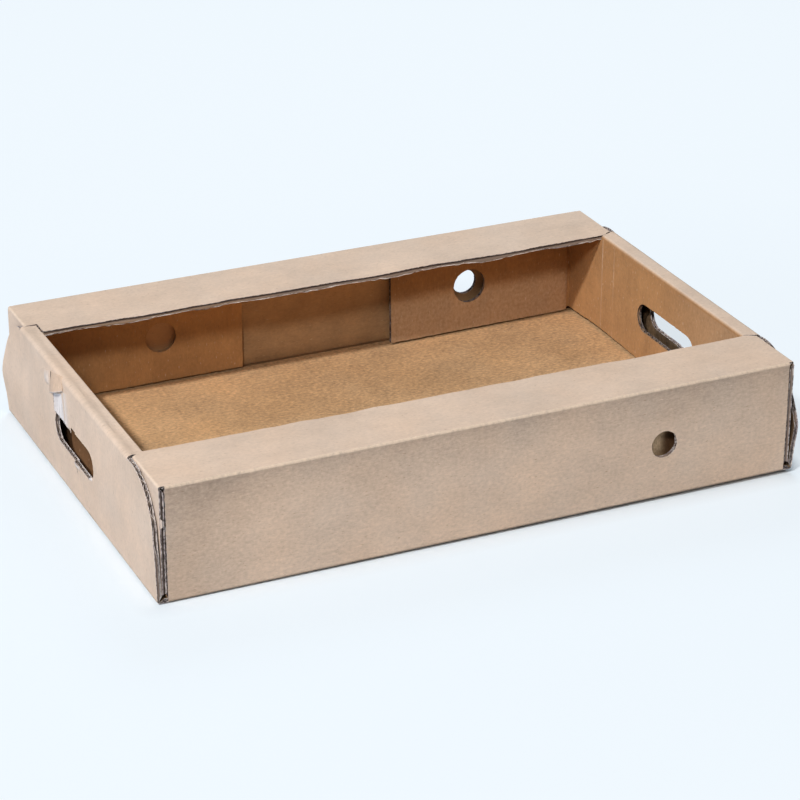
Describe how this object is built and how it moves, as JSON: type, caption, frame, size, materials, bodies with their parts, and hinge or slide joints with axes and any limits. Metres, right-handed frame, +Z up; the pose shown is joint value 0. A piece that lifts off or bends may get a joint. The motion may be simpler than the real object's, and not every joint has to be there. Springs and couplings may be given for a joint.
{
  "type": "cardboard tray box",
  "caption": "Shallow open tray folded from a sheet of corrugated board, with shelves along its long walls, rolled double ends with hand holes, and round vents.",
  "frame": {"origin": "centre of the footprint, on the underside of the base", "axes": "+X along the length, towards the end with the vents; +Y towards the back wall; +Z up"},
  "size_m": [0.6, 0.4, 0.105],
  "materials": {
    "board": "plain brown kraft liner, matt"
  },
  "bodies": {
    "root": {"tray": "board"}
  },
  "joints": []
}
